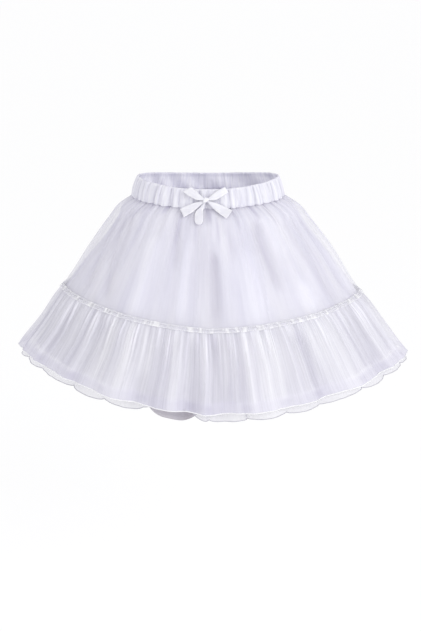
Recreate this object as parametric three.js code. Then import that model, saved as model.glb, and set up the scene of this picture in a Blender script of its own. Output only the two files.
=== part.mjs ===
// A child's two-tier tulle petticoat skirt in its worn, hollow shape, with nobody in it.
// Millimetres and degrees, +Z up, the front faces -Y. The origin is the middle of the waist, level
// with the middle of the waistband at the centre front. Angles run from the centre front, 0, through
// the side at +X, 90, to the centre back, 180.
import * as THREE from "three";

const SEAM_GAP = 0.3;
const CLOTH_WALL = 1.0;
const BAND_WALL = 2.5;
const RIBBON_WALL = 1.0;

const WAIST_GATHERS_PER_SIDE = 24;
const RUFFLE_GATHERS_PER_SIDE = 36;
const UNDER_HEM_WAVES = 24;
const UNDER_RUFFLE_COLUMNS = 84;
const LINING_COLUMNS = 72;
const TAPE_COLUMNS = 72;

const TIER_SEAM_DROP = 153;
const HEM_DROP = 245;
const TIER_SEAM_HOLD = 0.7;
const TIER_SEAM_REACH = 12;
const SIDE_SEAM_REACH = 8;

// Level rings of the outer tulle: depth below the origin at the centre front, half width, half depth,
// how far the sides ride up and how late in the turn they do, how far the ring leans to one side, how
// far it is shifted, and how far its sides are drawn out into soft corners (1 is an ellipse).
const TULLE_RINGS = [
  { drop: 14.9, halfWidth: 102.9, halfDepth: 79.1, lift: 5.4, late: 2, lean: 0, shift: 0.2, corner: 1 },
  { drop: 26, halfWidth: 119.2, halfDepth: 92.8, lift: 6.2, late: 1.9, lean: -0.6, shift: 1.4, corner: 1.08 },
  { drop: 48, halfWidth: 137.2, halfDepth: 107.6, lift: 7.8, late: 1.75, lean: -1.3, shift: 2.6, corner: 1.17 },
  { drop: 88.5, halfWidth: 165.6, halfDepth: 131, lift: 10.8, late: 1.5, lean: -2.7, shift: 4, corner: 1.28 },
  { drop: 153, halfWidth: 206.8, halfDepth: 165.5, lift: 15, late: 1.2, lean: -4.4, shift: 5, corner: 1.4 },
  { drop: 164, halfWidth: 216, halfDepth: 173.5, lift: 15.6, late: 1.2, lean: -4.5, shift: 5.5, corner: 1.43 },
  { drop: 198, halfWidth: 239.5, halfDepth: 192, lift: 17, late: 1.2, lean: -4.9, shift: 7, corner: 1.5 },
  { drop: 245, halfWidth: 274.5, halfDepth: 220, lift: 19, late: 1.2, lean: -5.4, shift: 7.5, corner: 1.6 },
  { drop: 265, halfWidth: 289, halfDepth: 232, lift: 20, late: 1.2, lean: -3.6, shift: 11, corner: 1.6 },
];

// The same for the middle of the waistband's thickness, from its top edge to its lower edge.
const BAND_RINGS = [
  { drop: -10.1, halfWidth: 94.0, halfDepth: 71.8, lift: 7.5, late: 2, lean: 0, shift: 0, corner: 1 },
  { drop: 2, halfWidth: 98.8, halfDepth: 75.6, lift: 6.4, late: 2, lean: 0, shift: 0, corner: 1 },
  { drop: 14.2, halfWidth: 102.2, halfDepth: 78.1, lift: 5.4, late: 2, lean: 0, shift: 0, corner: 1 },
];

// Rows of each wall, from top to bottom: depth, how far the wall lies inside the outer tulle, and how
// deep its gathers, its hem waves, the lining's one droop and the under ruffle's one hitch are there.
const BAND_ROWS = [
  { drop: -10.1, gather: 1.0 },
  { drop: 2, gather: 1.1 },
  { drop: 14.2, gather: 1.1 },
];
const UPPER_ROWS = [
  { drop: 14.9, gather: 1.1 },
  { drop: 26, gather: 1.1 },
  { drop: 48, gather: 0.9 },
  { drop: 88.5, gather: 0.3 },
  { drop: TIER_SEAM_DROP - SEAM_GAP / 2, gather: 0 },
];
const RUFFLE_ROWS = [
  { drop: TIER_SEAM_DROP + SEAM_GAP / 2, gather: 0.4 },
  { drop: 164, gather: 1.5, wave: 0.3 },
  { drop: 198, gather: 1.8, wave: 1.2 },
  { drop: HEM_DROP, gather: 1.5, wave: 2.4 },
];
const UNDER_RUFFLE_ROWS = [
  { drop: 153.4, inset: 2.6 },
  { drop: 198, inset: 7.5, wave: 2 },
  { drop: 256, inset: 12.5, wave: 4.5, sag: 1.9, hitch: 12.5 },
];
const LINING_ROWS = [
  { drop: 15.4, inset: 2.9 },
  { drop: 48, inset: 11.5 },
  { drop: TIER_SEAM_DROP, inset: 6 },
  { drop: 198, inset: 13 },
  { drop: 240, inset: 19.5, droop: 25 },
];
const TAPE_ROWS = [
  { drop: 150.4, inset: -1.7 },
  { drop: 155.7, inset: -2.8 },
];

// The lining's hem hangs lower in one soft scoop beside the centre front, and the under ruffle's hem is
// hitched up over it.
const LINING_DROOP = { at: -11.8, reach: 8.2 };
const UNDER_HITCH = { at: -11.6, reach: 7.6 };

// The large folds of the front. Each runs from one depth to another, drifts sideways as it goes down,
// and pushes the cloth out (+) or lets it fall in (-) over its half width, spread.
const FRONT_FOLDS = [
  { at: -77, drift: 0, spread: 4, push: -3, from: 30, to: 262 },
  { at: -69, drift: 10, spread: 5, push: -4, from: 30, to: 153 },
  { at: -62, drift: 18, spread: 4, push: -4, from: 20, to: 153 },
  { at: -57.7, drift: 0, spread: 3.5, push: -3, from: 153, to: 262 },
  { at: -40, drift: -2, spread: 4.5, push: -4.5, from: 153, to: 262 },
  { at: -32, drift: 2, spread: 6.5, push: 4, from: 42, to: 262 },
  { at: -20.8, drift: 3.5, spread: 3.5, push: -3, from: 22, to: 95 },
  { at: -22, drift: 0, spread: 3.5, push: -3, from: 200, to: 270 },
  { at: -12.7, drift: 0, spread: 3.5, push: 3, from: 40, to: 160 },
  { at: -6.7, drift: 0, spread: 3.5, push: -4, from: 153, to: 262 },
  { at: 1.2, drift: 1, spread: 4, push: -6, from: 55, to: 270 },
  { at: 10.4, drift: 0, spread: 3.5, push: -3, from: 28, to: 82 },
  { at: 18.5, drift: -3, spread: 6.5, push: 4, from: 55, to: 262 },
  { at: 29.4, drift: 0, spread: 4.5, push: -5, from: 22, to: 122 },
  { at: 28.8, drift: 3, spread: 4.5, push: -4, from: 153, to: 262 },
  { at: 38, drift: 0, spread: 6.5, push: 3.5, from: 15, to: 82 },
  { at: 42, drift: 0, spread: 7, push: 3.5, from: 100, to: 262 },
  { at: 56, drift: 1, spread: 5, push: -3.5, from: 28, to: 262 },
  { at: 65, drift: 3, spread: 4.5, push: -3.5, from: 28, to: 153 },
  { at: 79, drift: -8, spread: 4.5, push: 2.5, from: 60, to: 262 },
];
const FOLD_FADE = 22;
const FOLD_ROUNDNESS = 0.62;
// The back hangs in like folds, a little shallower and turned round by this much.
const BACK_FOLDS = { turn: 7, share: 0.9 };

// Ribbon pieces of the bow, across and up from the middle of the knot: the two edges of the ribbon at
// each station from the knot outwards, and how far each edge stands off the cloth behind it.
const KNOT = { x: -2.4, z: -2.2, halfWidth: 3.6, halfDepth: 3.2, halfHeight: 3.7 };
const LEFT_LOOP_LEAF = [
  { upperX: -4.1, upperZ: 2.9, lowerX: -4.3, lowerZ: -0.7, crown: 0.8 },
  { upperX: -8.8, upperZ: 7.3, lowerX: -11.5, lowerZ: 0.2, crown: 1.0 },
  { upperX: -13.2, upperZ: 11.3, lowerX: -20.8, lowerZ: 4.3, crown: 0.6 },
  { upperX: -18.4, upperZ: 15.2, lowerX: -28.8, lowerZ: 9.0, crown: 0.0 },
];
const RIGHT_LOOP_LEAF = [
  { upperX: 4.1, upperZ: 3.2, lowerX: 4.3, lowerZ: -0.7, crown: 0.8 },
  { upperX: 9.2, upperZ: 7.6, lowerX: 11.4, lowerZ: 0.0, crown: 1.0 },
  { upperX: 16.0, upperZ: 12.0, lowerX: 19.4, lowerZ: 3.6, crown: 0.6 },
  { upperX: 23.4, upperZ: 15.3, lowerX: 27.6, lowerZ: 8.5, crown: 0.0 },
];
const LEFT_TAIL = [
  { upperX: -4.2, upperZ: -1.6, upperOff: 2.2, lowerX: -3.3, lowerZ: -4.4, lowerOff: 2.2 },
  { upperX: -14, upperZ: -3.6, upperOff: 1.6, lowerX: -10.5, lowerZ: -10.2, lowerOff: 1.6 },
  { upperX: -24, upperZ: -7.4, upperOff: 1.6, lowerX: -19.0, lowerZ: -16.2, lowerOff: 1.2 },
  { upperX: -33.6, upperZ: -12.0, upperOff: 3.6, lowerX: -28.6, lowerZ: -20.9, lowerOff: 1.0 },
];
const RIGHT_TAIL = [
  { upperX: 4.2, upperZ: -1.6, upperOff: 2.2, lowerX: 3.3, lowerZ: -4.4, lowerOff: 2.2 },
  { upperX: 14, upperZ: -4.4, upperOff: 1.6, lowerX: 9.6, lowerZ: -11.2, lowerOff: 1.6 },
  { upperX: 24.5, upperZ: -9.2, upperOff: 1.6, lowerX: 18.0, lowerZ: -17.2, lowerOff: 1.2 },
  { upperX: 33.8, upperZ: -13.6, upperOff: 3.6, lowerX: 26.2, lowerZ: -22.0, lowerOff: 1.0 },
];
const DROP = [
  { upperX: -0.6, upperZ: -4.9, upperOff: 2.2, lowerX: -3.2, lowerZ: -5.2, lowerOff: 2.2 },
  { upperX: -2.6, upperZ: -8.8, upperOff: 2.0, lowerX: -7.2, lowerZ: -9.0, lowerOff: 2.0 },
  { upperX: -3.6, upperZ: -12.6, upperOff: 1.8, lowerX: -11.2, lowerZ: -12.6, lowerOff: 1.8 },
  { upperX: -3.6, upperZ: -17.0, upperOff: 1.6, lowerX: -14.2, lowerZ: -17.0, lowerOff: 1.6 },
  { upperX: -3.9, upperZ: -23.7, upperOff: 1.3, lowerX: -14.5, lowerZ: -23.7, lowerOff: 1.3 },
  { upperX: -4.9, upperZ: -26.8, upperOff: 1.2, lowerX: -13.3, lowerZ: -26.8, lowerOff: 1.2 },
  { upperX: -6.9, upperZ: -28.3, upperOff: 1.2, lowerX: -11.0, lowerZ: -28.3, lowerOff: 1.2 },
];
const LOOP_BACK_OFF = 1.3;
const LOOP_FRONT_OFF = 4.1;
const LOOP_END_BULGE = 0.7;
const BOW_CLEARANCE = 0.4;
const GATHER_RIDGE = 1.5;

const COLOURS = { cotton: 0xf4f4fb, tulle: 0xe9e9f5, satin: 0xfbfbff, lining: 0xdfdeef };

const radians = THREE.MathUtils.degToRad;
const lerp = THREE.MathUtils.lerp;

// The ring at one depth, between the two rings of a table around it.
function ringAt(rings, drop) {
  let below = 1;
  while (below < rings.length - 1 && rings[below].drop < drop) {
    below += 1;
  }
  const upper = rings[below - 1];
  const lower = rings[below];
  const share = (drop - upper.drop) / (lower.drop - upper.drop);
  const ring = {};
  for (const size of Object.keys(upper)) {
    ring[size] = lerp(upper[size], lower[size], share);
  }
  return ring;
}

function bump(distance, reach) {
  return Math.exp(-Math.pow(distance / reach, 2));
}

function plateau(distance, reach) {
  return Math.exp(-Math.pow(distance / reach, 4));
}

// How far the large folds push the cloth out at one angle and depth. The tier seam and the side seams
// hold it back.
function foldPush(angle, drop) {
  const onBack = Math.cos(radians(angle)) < 0;
  const across = onBack ? 180 - angle : angle;
  const turn = onBack ? BACK_FOLDS.turn : 0;
  const share = onBack ? BACK_FOLDS.share : 1;
  const sideHold = Math.min(1, Math.max(0, (90 - Math.abs(across)) / SIDE_SEAM_REACH));
  const seamHold = 1 - TIER_SEAM_HOLD * bump(drop - TIER_SEAM_DROP, TIER_SEAM_REACH);
  let push = 0;
  for (const fold of FRONT_FOLDS) {
    const along = (drop - fold.from) / (fold.to - fold.from);
    const start = THREE.MathUtils.smoothstep(drop, fold.from, fold.from + FOLD_FADE);
    const end = 1 - THREE.MathUtils.smoothstep(drop, fold.to - FOLD_FADE, fold.to);
    const at = fold.at + turn + fold.drift * along;
    push += fold.push * start * end * bump(across - at, FOLD_ROUNDNESS * fold.spread);
  }
  return push * share * sideHold * seamHold;
}

// The slow wave that the hems share, uneven round the skirt, from -1 to 1.
function hemWave(angle) {
  const a = radians(angle);
  const drift = 1.1 * Math.sin(3 * a + 0.5) + 0.7 * Math.sin(5 * a);
  return Math.cos(UNDER_HEM_WAVES * a + drift);
}

// A point of the plan of one ring, pushed out by so much.
function planPoint(ring, angle, out) {
  const fore = Math.cos(radians(angle));
  const x = ring.shift + (ring.halfWidth + out) * Math.sin(radians(angle));
  const y = -(ring.halfDepth + out) * Math.sign(fore) * Math.pow(Math.abs(fore), ring.corner);
  return new THREE.Vector2(x, y);
}

// The angle from -90 to 90 at a share of the way across one side, by equal angles at the waist and by
// equal lengths of hem on the pieces below the tier seam.
function waistAngle(share) {
  return 180 * share - 90;
}

const hemLengths = [0];
const HEM_STEPS = 720;
for (let k = 1; k <= HEM_STEPS; k += 1) {
  const hem = ringAt(TULLE_RINGS, HEM_DROP);
  const before = planPoint(hem, waistAngle((k - 1) / HEM_STEPS), 0);
  const after = planPoint(hem, waistAngle(k / HEM_STEPS), 0);
  hemLengths.push(hemLengths[k - 1] + before.distanceTo(after));
}

function hemAngle(share) {
  const length = share * hemLengths[HEM_STEPS];
  let k = 1;
  while (k < HEM_STEPS && hemLengths[k] < length) {
    k += 1;
  }
  const within = (length - hemLengths[k - 1]) / (hemLengths[k] - hemLengths[k - 1]);
  return waistAngle((k - 1 + within) / HEM_STEPS);
}

// Columns of one side of a gathered piece: each gather is a valley, a rise, a ridge and a fall, and the
// side seams lie halfway.
function gatherColumns(middle, gathers, angleAt) {
  const valleyAt = (k) => {
    const uneven = k === 0 || k === gathers ? 0 : 0.2 * Math.sin(2.4 * k + middle);
    return middle + angleAt((k + uneven) / gathers);
  };
  const columns = [];
  for (let k = 0; k < gathers; k += 1) {
    const left = valleyAt(k);
    const right = valleyAt(k + 1);
    const ridge = 1 + 0.35 * Math.sin(1.9 * k + 0.7);
    columns.push({ angle: left, gather: k === 0 ? 0 : -1 });
    columns.push({ angle: lerp(left, right, 0.25), gather: 0 });
    columns.push({ angle: lerp(left, right, 0.5), gather: ridge });
    columns.push({ angle: lerp(left, right, 0.75), gather: 0 });
  }
  columns.push({ angle: middle + 90, gather: 0 });
  return columns;
}

function plainColumns(middle, count, angleAt) {
  const columns = [];
  for (let k = 0; k <= count; k += 1) {
    columns.push({ angle: middle + angleAt(k / count), gather: 0 });
  }
  return columns;
}

// A point in the middle of a wall's thickness, where a column crosses a row.
function clothPoint(rings, row, column) {
  const ring = ringAt(rings, row.drop);
  const wave = hemWave(column.angle);
  const gathers = (row.gather ?? 0) * column.gather;
  const waves = (row.wave ?? 0) * wave;
  const folds = foldPush(column.angle, row.drop);
  const out = gathers + waves + folds - (row.inset ?? 0);
  const droop = (row.droop ?? 0) * plateau(column.angle - LINING_DROOP.at, LINING_DROOP.reach);
  const hitch = (row.hitch ?? 0) * plateau(column.angle - UNDER_HITCH.at, UNDER_HITCH.reach);
  const fall = (row.sag ?? 0) * wave + droop - hitch;
  const plan = planPoint(ring, column.angle, out);
  const side = Math.sin(radians(column.angle));
  const rise = ring.lift * Math.pow(Math.abs(side), ring.late) + ring.lean * side;
  return new THREE.Vector3(plan.x, plan.y, rise - ring.drop - fall);
}

// Surface direction at one point of a grid of points, from its neighbours.
function gridNormal(grid, i, j) {
  const up = grid[Math.max(i - 1, 0)][j];
  const down = grid[Math.min(i + 1, grid.length - 1)][j];
  const left = grid[i][Math.max(j - 1, 0)];
  const right = grid[i][Math.min(j + 1, grid[0].length - 1)];
  const along = down.clone().sub(up);
  return along.cross(right.clone().sub(left)).normalize();
}

// One closed wall between two skins, half its thickness to each side of a grid of points.
function wallGeometry(grid, thickness, atSideSeams) {
  const rows = grid.length;
  const columns = grid[0].length;
  const positions = [];
  for (const face of [0.5, -0.5]) {
    for (let i = 0; i < rows; i += 1) {
      for (let j = 0; j < columns; j += 1) {
        const onEdge = j === 0 || j === columns - 1;
        const normal = gridNormal(grid, i, j);
        if (atSideSeams && onEdge) {
          normal.setY(0).normalize();
        }
        const point = grid[i][j].clone().addScaledVector(normal, face * thickness);
        positions.push(point.x, point.y, point.z);
      }
    }
  }
  const outer = (i, j) => i * columns + j;
  const inner = (i, j) => rows * columns + i * columns + j;
  const triangles = [];
  for (let i = 0; i < rows - 1; i += 1) {
    for (let j = 0; j < columns - 1; j += 1) {
      triangles.push(outer(i, j), outer(i + 1, j), outer(i + 1, j + 1));
      triangles.push(outer(i, j), outer(i + 1, j + 1), outer(i, j + 1));
      triangles.push(inner(i, j), inner(i + 1, j + 1), inner(i + 1, j));
      triangles.push(inner(i, j), inner(i, j + 1), inner(i + 1, j + 1));
    }
  }
  const rim = [];
  for (let i = 0; i < rows - 1; i += 1) rim.push([i, 0]);
  for (let j = 0; j < columns - 1; j += 1) rim.push([rows - 1, j]);
  for (let i = rows - 1; i > 0; i -= 1) rim.push([i, columns - 1]);
  for (let j = columns - 1; j > 0; j -= 1) rim.push([0, j]);
  rim.forEach(([i, j], k) => {
    const [nextI, nextJ] = rim[(k + 1) % rim.length];
    triangles.push(outer(nextI, nextJ), outer(i, j), inner(i, j));
    triangles.push(outer(nextI, nextJ), inner(i, j), inner(nextI, nextJ));
  });
  const geometry = new THREE.BufferGeometry();
  geometry.setAttribute("position", new THREE.Float32BufferAttribute(positions, 3));
  geometry.setIndex(triangles);
  geometry.computeVertexNormals();
  return geometry;
}

// One side of a piece that goes round the skirt, ended just short of the side seams.
function halfWall(rings, rows, columns, thickness) {
  const frontOrBack = Math.sign(Math.cos(radians(columns[1].angle)));
  const grid = rows.map((row) => columns.map((column) => clothPoint(rings, row, column)));
  for (const line of grid) {
    for (const point of [line[0], line[line.length - 1]]) {
      point.setY((-frontOrBack * SEAM_GAP) / 2);
    }
  }
  return wallGeometry(grid, thickness, true);
}

// The outermost cloth of the front at one place, for what is tied or sewn on it.
function frontSurface(x, z) {
  const onBand = z > -BAND_RINGS[BAND_RINGS.length - 1].drop;
  const rings = onBand ? BAND_RINGS : TULLE_RINGS;
  const ring = ringAt(rings, -z);
  const wall = onBand ? BAND_WALL : CLOTH_WALL;
  const proud = wall / 2 + GATHER_RIDGE + BOW_CLEARANCE;
  const angle = THREE.MathUtils.radToDeg(Math.asin((x - ring.shift) / (ring.halfWidth + proud)));
  return planPoint(ring, angle, proud).y;
}

function bowPoint(x, z, off) {
  const worldX = KNOT.x + x;
  const worldZ = KNOT.z + z;
  return new THREE.Vector3(worldX, frontSurface(worldX, worldZ) - off, worldZ);
}

// Three points across a ribbon at one station, the middle one standing proud by the crown.
function ribbonRow(station, upperOff, lowerOff, crown) {
  const upper = bowPoint(station.upperX, station.upperZ, upperOff);
  const lower = bowPoint(station.lowerX, station.lowerZ, lowerOff);
  const middle = upper.clone().add(lower).multiplyScalar(0.5);
  middle.y -= crown;
  return [upper, middle, lower];
}

// A loop: out along the back leaf, round its folded end and back along the front leaf.
function loopGeometry(leaf) {
  const middleOff = (LOOP_BACK_OFF + LOOP_FRONT_OFF) / 2;
  const end = leaf[leaf.length - 1];
  const previous = leaf[leaf.length - 2];
  const beyond = {};
  for (const size of Object.keys(end)) {
    beyond[size] = lerp(previous[size], end[size], 1 + LOOP_END_BULGE / 6);
  }
  const grid = [];
  leaf.forEach((station) => grid.push(ribbonRow(station, LOOP_BACK_OFF, LOOP_BACK_OFF, 0)));
  grid.push(ribbonRow(beyond, middleOff, middleOff, 0));
  [...leaf].reverse().forEach((station) => {
    grid.push(ribbonRow(station, LOOP_FRONT_OFF, LOOP_FRONT_OFF, station.crown));
  });
  return wallGeometry(grid, RIBBON_WALL, false);
}

function tailGeometry(stations) {
  const grid = stations.map((station) => ribbonRow(station, station.upperOff, station.lowerOff, 0.4));
  return wallGeometry(grid, RIBBON_WALL, false);
}

function knotGeometry() {
  const geometry = new THREE.SphereGeometry(1, 16, 10);
  geometry.scale(KNOT.halfWidth, KNOT.halfDepth, KNOT.halfHeight);
  return geometry;
}

const skirt = new THREE.Group();

function add(name, geometry, colour, roughness) {
  const material = new THREE.MeshStandardMaterial({ color: colour, roughness, metalness: 0 });
  const mesh = new THREE.Mesh(geometry, material);
  mesh.name = name;
  skirt.add(mesh);
  return mesh;
}

for (const [side, middle] of [["front", 0], ["back", 180]]) {
  const waistColumns = gatherColumns(middle, WAIST_GATHERS_PER_SIDE, waistAngle);
  const ruffleColumns = gatherColumns(middle, RUFFLE_GATHERS_PER_SIDE, hemAngle);
  const underColumns = plainColumns(middle, UNDER_RUFFLE_COLUMNS, hemAngle);
  const liningColumns = plainColumns(middle, LINING_COLUMNS, hemAngle);
  const tapeColumns = plainColumns(middle, TAPE_COLUMNS, hemAngle);
  const band = halfWall(BAND_RINGS, BAND_ROWS, waistColumns, BAND_WALL);
  const upper = halfWall(TULLE_RINGS, UPPER_ROWS, waistColumns, CLOTH_WALL);
  const tape = halfWall(TULLE_RINGS, TAPE_ROWS, tapeColumns, CLOTH_WALL);
  const ruffle = halfWall(TULLE_RINGS, RUFFLE_ROWS, ruffleColumns, CLOTH_WALL);
  const under = halfWall(TULLE_RINGS, UNDER_RUFFLE_ROWS, underColumns, CLOTH_WALL);
  const lining = halfWall(TULLE_RINGS, LINING_ROWS, liningColumns, CLOTH_WALL);
  add(`waistband_${side}`, band, COLOURS.cotton, 0.8);
  add(`upper_tulle_${side}`, upper, COLOURS.tulle, 0.9);
  add(`tier_tape_${side}`, tape, COLOURS.satin, 0.5);
  add(`ruffle_${side}`, ruffle, COLOURS.tulle, 0.9);
  add(`under_ruffle_${side}`, under, COLOURS.tulle, 0.9);
  add(`lining_${side}`, lining, COLOURS.lining, 0.85);
}

const knot = add("bow_knot", knotGeometry(), COLOURS.satin, 0.4);
const knotSeat = frontSurface(KNOT.x, KNOT.z);
knot.position.set(KNOT.x, knotSeat - KNOT.halfDepth, KNOT.z);
add("bow_loop_left", loopGeometry(LEFT_LOOP_LEAF), COLOURS.satin, 0.4);
add("bow_loop_right", loopGeometry(RIGHT_LOOP_LEAF), COLOURS.satin, 0.4);
add("bow_tail_left", tailGeometry(LEFT_TAIL), COLOURS.satin, 0.4);
add("bow_tail_right", tailGeometry(RIGHT_TAIL), COLOURS.satin, 0.4);
add("bow_drop", tailGeometry(DROP), COLOURS.satin, 0.4);

export default skirt;
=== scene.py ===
"""A child's two-tier tulle petticoat skirt in its worn shape, dressed over its solids.

Sizes in the tables are in millimetres, and MM turns them into the metres of the meshes. Angles are in
degrees from the centre front, 0, through the side at +X, 90, to the centre back, 180. Depths, called
drop, are measured down from the middle of the waistband at the centre front.
"""
import math

import bpy
import numpy as np
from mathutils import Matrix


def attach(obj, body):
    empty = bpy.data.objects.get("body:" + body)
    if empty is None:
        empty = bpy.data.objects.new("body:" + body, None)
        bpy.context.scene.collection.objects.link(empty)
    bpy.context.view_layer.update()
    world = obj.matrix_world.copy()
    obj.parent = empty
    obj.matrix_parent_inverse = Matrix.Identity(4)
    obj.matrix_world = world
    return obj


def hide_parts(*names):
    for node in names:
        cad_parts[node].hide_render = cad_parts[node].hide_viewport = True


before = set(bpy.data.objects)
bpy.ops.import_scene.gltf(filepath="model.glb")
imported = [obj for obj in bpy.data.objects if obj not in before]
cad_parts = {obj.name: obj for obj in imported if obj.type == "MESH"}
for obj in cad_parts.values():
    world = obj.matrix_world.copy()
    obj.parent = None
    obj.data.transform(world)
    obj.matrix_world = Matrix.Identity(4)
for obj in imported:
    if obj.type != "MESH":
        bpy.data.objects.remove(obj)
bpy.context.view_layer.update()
MM = 0.001

# ---------------------------------------------------------------------------------------------------
# The studio: a pale sweep of floor and wall well below and behind the skirt, an even white sky, one
# large soft light at the front right and a weak one at the left, and the camera a little above the
# waist.
# ---------------------------------------------------------------------------------------------------
CAMERA_PLACE = (0.0034, -1.5, 0.245)
CAMERA_AIM = (0.0034, 0.0, -0.1797)
CAMERA_LENS = 63.53
FLOOR_LEVEL = -0.62
SKY_STRENGTH = 0.70
STAGE_GLOW = 0.81
KEY_LIGHT = {"place": (1.75, -1.7, 1.1), "size": 1.5, "watts": 28}
LEFT_LIGHT = {"place": (-2.2, -1.5, 0.7), "size": 1.6, "watts": 11}
LIGHTS_AIM = (0, 0, -0.12)


def aim(thing, target):
    """Turns a camera or a light towards a point."""
    away = np.array(thing.location) - np.array(target)
    thing.rotation_euler = (
        math.atan2(math.hypot(away[0], away[1]), away[2]),
        0,
        math.atan2(away[0], -away[1]),
    )


camera_data = bpy.data.cameras.new("camera")
camera_data.lens = CAMERA_LENS
camera = bpy.data.objects.new("camera", camera_data)
camera.location = CAMERA_PLACE
aim(camera, CAMERA_AIM)
bpy.context.collection.objects.link(camera)
bpy.context.scene.camera = camera
bpy.context.scene.view_settings.view_transform = "Standard"
bpy.context.scene.cycles.transparent_max_bounces = 40

sky = bpy.data.worlds.new("sky")
sky.use_nodes = True
sky.node_tree.nodes["Background"].inputs["Color"].default_value = (0.96, 0.958, 1, 1)
sky.node_tree.nodes["Background"].inputs["Strength"].default_value = SKY_STRENGTH
bpy.context.scene.world = sky

for name, light in (("key_light", KEY_LIGHT), ("left_light", LEFT_LIGHT)):
    light_data = bpy.data.lights.new(name, "AREA")
    light_data.size = light["size"]
    light_data.energy = light["watts"]
    lamp = bpy.data.objects.new(name, light_data)
    lamp.location = light["place"]
    aim(lamp, LIGHTS_AIM)
    bpy.context.collection.objects.link(lamp)

SWEEP = {"half_width": 9, "front": -6, "bend": 3, "radius": 2, "height": 7}
sweep_line = [(SWEEP["front"], FLOOR_LEVEL)]
for step in range(13):
    turn = math.radians(90 * step / 12)
    sweep_line.append((
        SWEEP["bend"] + SWEEP["radius"] * math.sin(turn),
        FLOOR_LEVEL + SWEEP["radius"] * (1 - math.cos(turn)),
    ))
sweep_line.append((SWEEP["bend"] + SWEEP["radius"], FLOOR_LEVEL + SWEEP["height"]))
sweep_points = [(x, y, z) for y, z in sweep_line for x in (-SWEEP["half_width"], SWEEP["half_width"])]
sweep_faces = [(2 * k, 2 * k + 1, 2 * k + 3, 2 * k + 2) for k in range(len(sweep_line) - 1)]
sweep_mesh = bpy.data.meshes.new("studio_sweep")
sweep_mesh.from_pydata(sweep_points, [], sweep_faces)
sweep_mesh.shade_smooth()
sweep = bpy.data.objects.new("studio_sweep", sweep_mesh)
bpy.context.collection.objects.link(sweep)
paper = bpy.data.materials.new("pale_paper")
paper.use_nodes = True
paper_finish = paper.node_tree.nodes["Principled BSDF"].inputs
paper_finish["Base Color"].default_value = (0.22, 0.22, 0.22, 1)
paper_finish["Roughness"].default_value = 1
paper_finish["Specular IOR Level"].default_value = 0
paper_finish["Emission Color"].default_value = (1, 1, 1, 1)
paper_finish["Emission Strength"].default_value = STAGE_GLOW
sweep_mesh.materials.append(paper)

# ---------------------------------------------------------------------------------------------------
# The waistband is a strip of cotton poplin folded double over a flat elastic and stitched shut along
# its lower edge. The elastic draws it in, so the cotton stands in uneven upright gathers all round.
# It is cut as one tube and shown here as a front and a back that meet at the side seams.
# ---------------------------------------------------------------------------------------------------
# Each ring of cloth: its depth, its half sizes, how far its sides lift and how late, how far it leans
# and shifts towards +X, and how far its sides are drawn out into corners (1 is an ellipse).
RING_COLUMNS = "drop half_width half_depth lift late lean shift corner"


def table(columns, *rows):
    """Rows of numbers, each number under the name of its column."""
    return [dict(zip(columns.split(), row)) for row in rows]


BAND_RINGS = table(RING_COLUMNS,
    (-10.1, 94.0, 71.8, 7.5, 2, 0, 0, 1),
    (2, 98.8, 75.6, 6.4, 2, 0, 0, 1),
    (14.2, 102.2, 78.1, 5.4, 2, 0, 0, 1),
)
BAND_TOP = BAND_RINGS[0]["drop"]
BAND_FOOT = BAND_RINGS[-1]["drop"]
BAND_WALL = 2.5
WAIST_GATHERS = 24
BAND_GATHER_DEPTH = 1.1
BAND_CUT = {"width": 0.350, "height": 0.0255}
BAND_MAP_HEIGHT = 0.026
SIDES = (("front", 0), ("back", 180))


def along_rows(rows, column, drop):
    """One column of a table at any depth, on a smooth curve through its rows."""
    at = np.array([row["drop"] for row in rows], float)
    value = np.array([row.get(column, 0) for row in rows], float)
    slope = np.gradient(value, at)
    low = np.clip(np.searchsorted(at, drop) - 1, 0, len(at) - 2)
    gap = at[low + 1] - at[low]
    t = (drop - at[low]) / gap
    start = (2 * t**3 - 3 * t**2 + 1) * value[low] + (t**3 - 2 * t**2 + t) * gap * slope[low]
    end = (3 * t**2 - 2 * t**3) * value[low + 1] + (t**3 - t**2) * gap * slope[low + 1]
    return start + end


def ring_points(rings, drop, angle, out=0.0, fall=0.0):
    """Points on a table's rings at depths and angles, pushed out and let fall by millimetres."""
    size = {column: along_rows(rings, column, drop) for column in rings[0] if column != "drop"}
    fore = np.cos(np.radians(angle))
    side = np.sin(np.radians(angle))
    x = size["shift"] + (size["half_width"] + out) * side
    y = -(size["half_depth"] + out) * np.sign(fore) * np.abs(fore) ** size["corner"]
    z = size["lift"] * np.abs(side) ** size["late"] + size["lean"] * side - drop - fall
    return np.stack(np.broadcast_arrays(x, y, z), axis=-1) * MM


def bump(distance, reach):
    """1 at no distance, falling smoothly to nothing past the reach."""
    return np.exp(-((distance / reach) ** 2))


def ease(value, start, end):
    """0 before the start and 1 past the end, with a smooth rise between them."""
    t = np.clip((value - start) / (end - start), 0, 1)
    return t * t * (3 - 2 * t)


def gather_phase(share, gathers, middle):
    """Which gather a place across one side lies in, as a whole number at each valley."""
    k = np.arange(gathers + 1)
    uneven = 0.2 * np.sin(2.4 * k + middle)
    uneven[[0, -1]] = 0
    return np.interp(share, (k + uneven) / gathers, k)


def gather_height(phase):
    """The height of uneven gathers: -1 in each valley and about 1 on each ridge."""
    ridge = 1 + 0.35 * np.sin(1.9 * np.floor(phase) + 0.7)
    height = -np.cos(2 * np.pi * phase)
    return np.where(height > 0, ridge * height, height)


def band_gather(phase):
    """Gathers held tight by elastic: broad round ridges between thin deep valleys."""
    ridge = 0.85 + 0.3 * np.sin(1.9 * np.floor(phase) + 0.7)
    return ridge * (2 * np.abs(np.sin(np.pi * phase)) ** 0.55 - 1)


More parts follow.
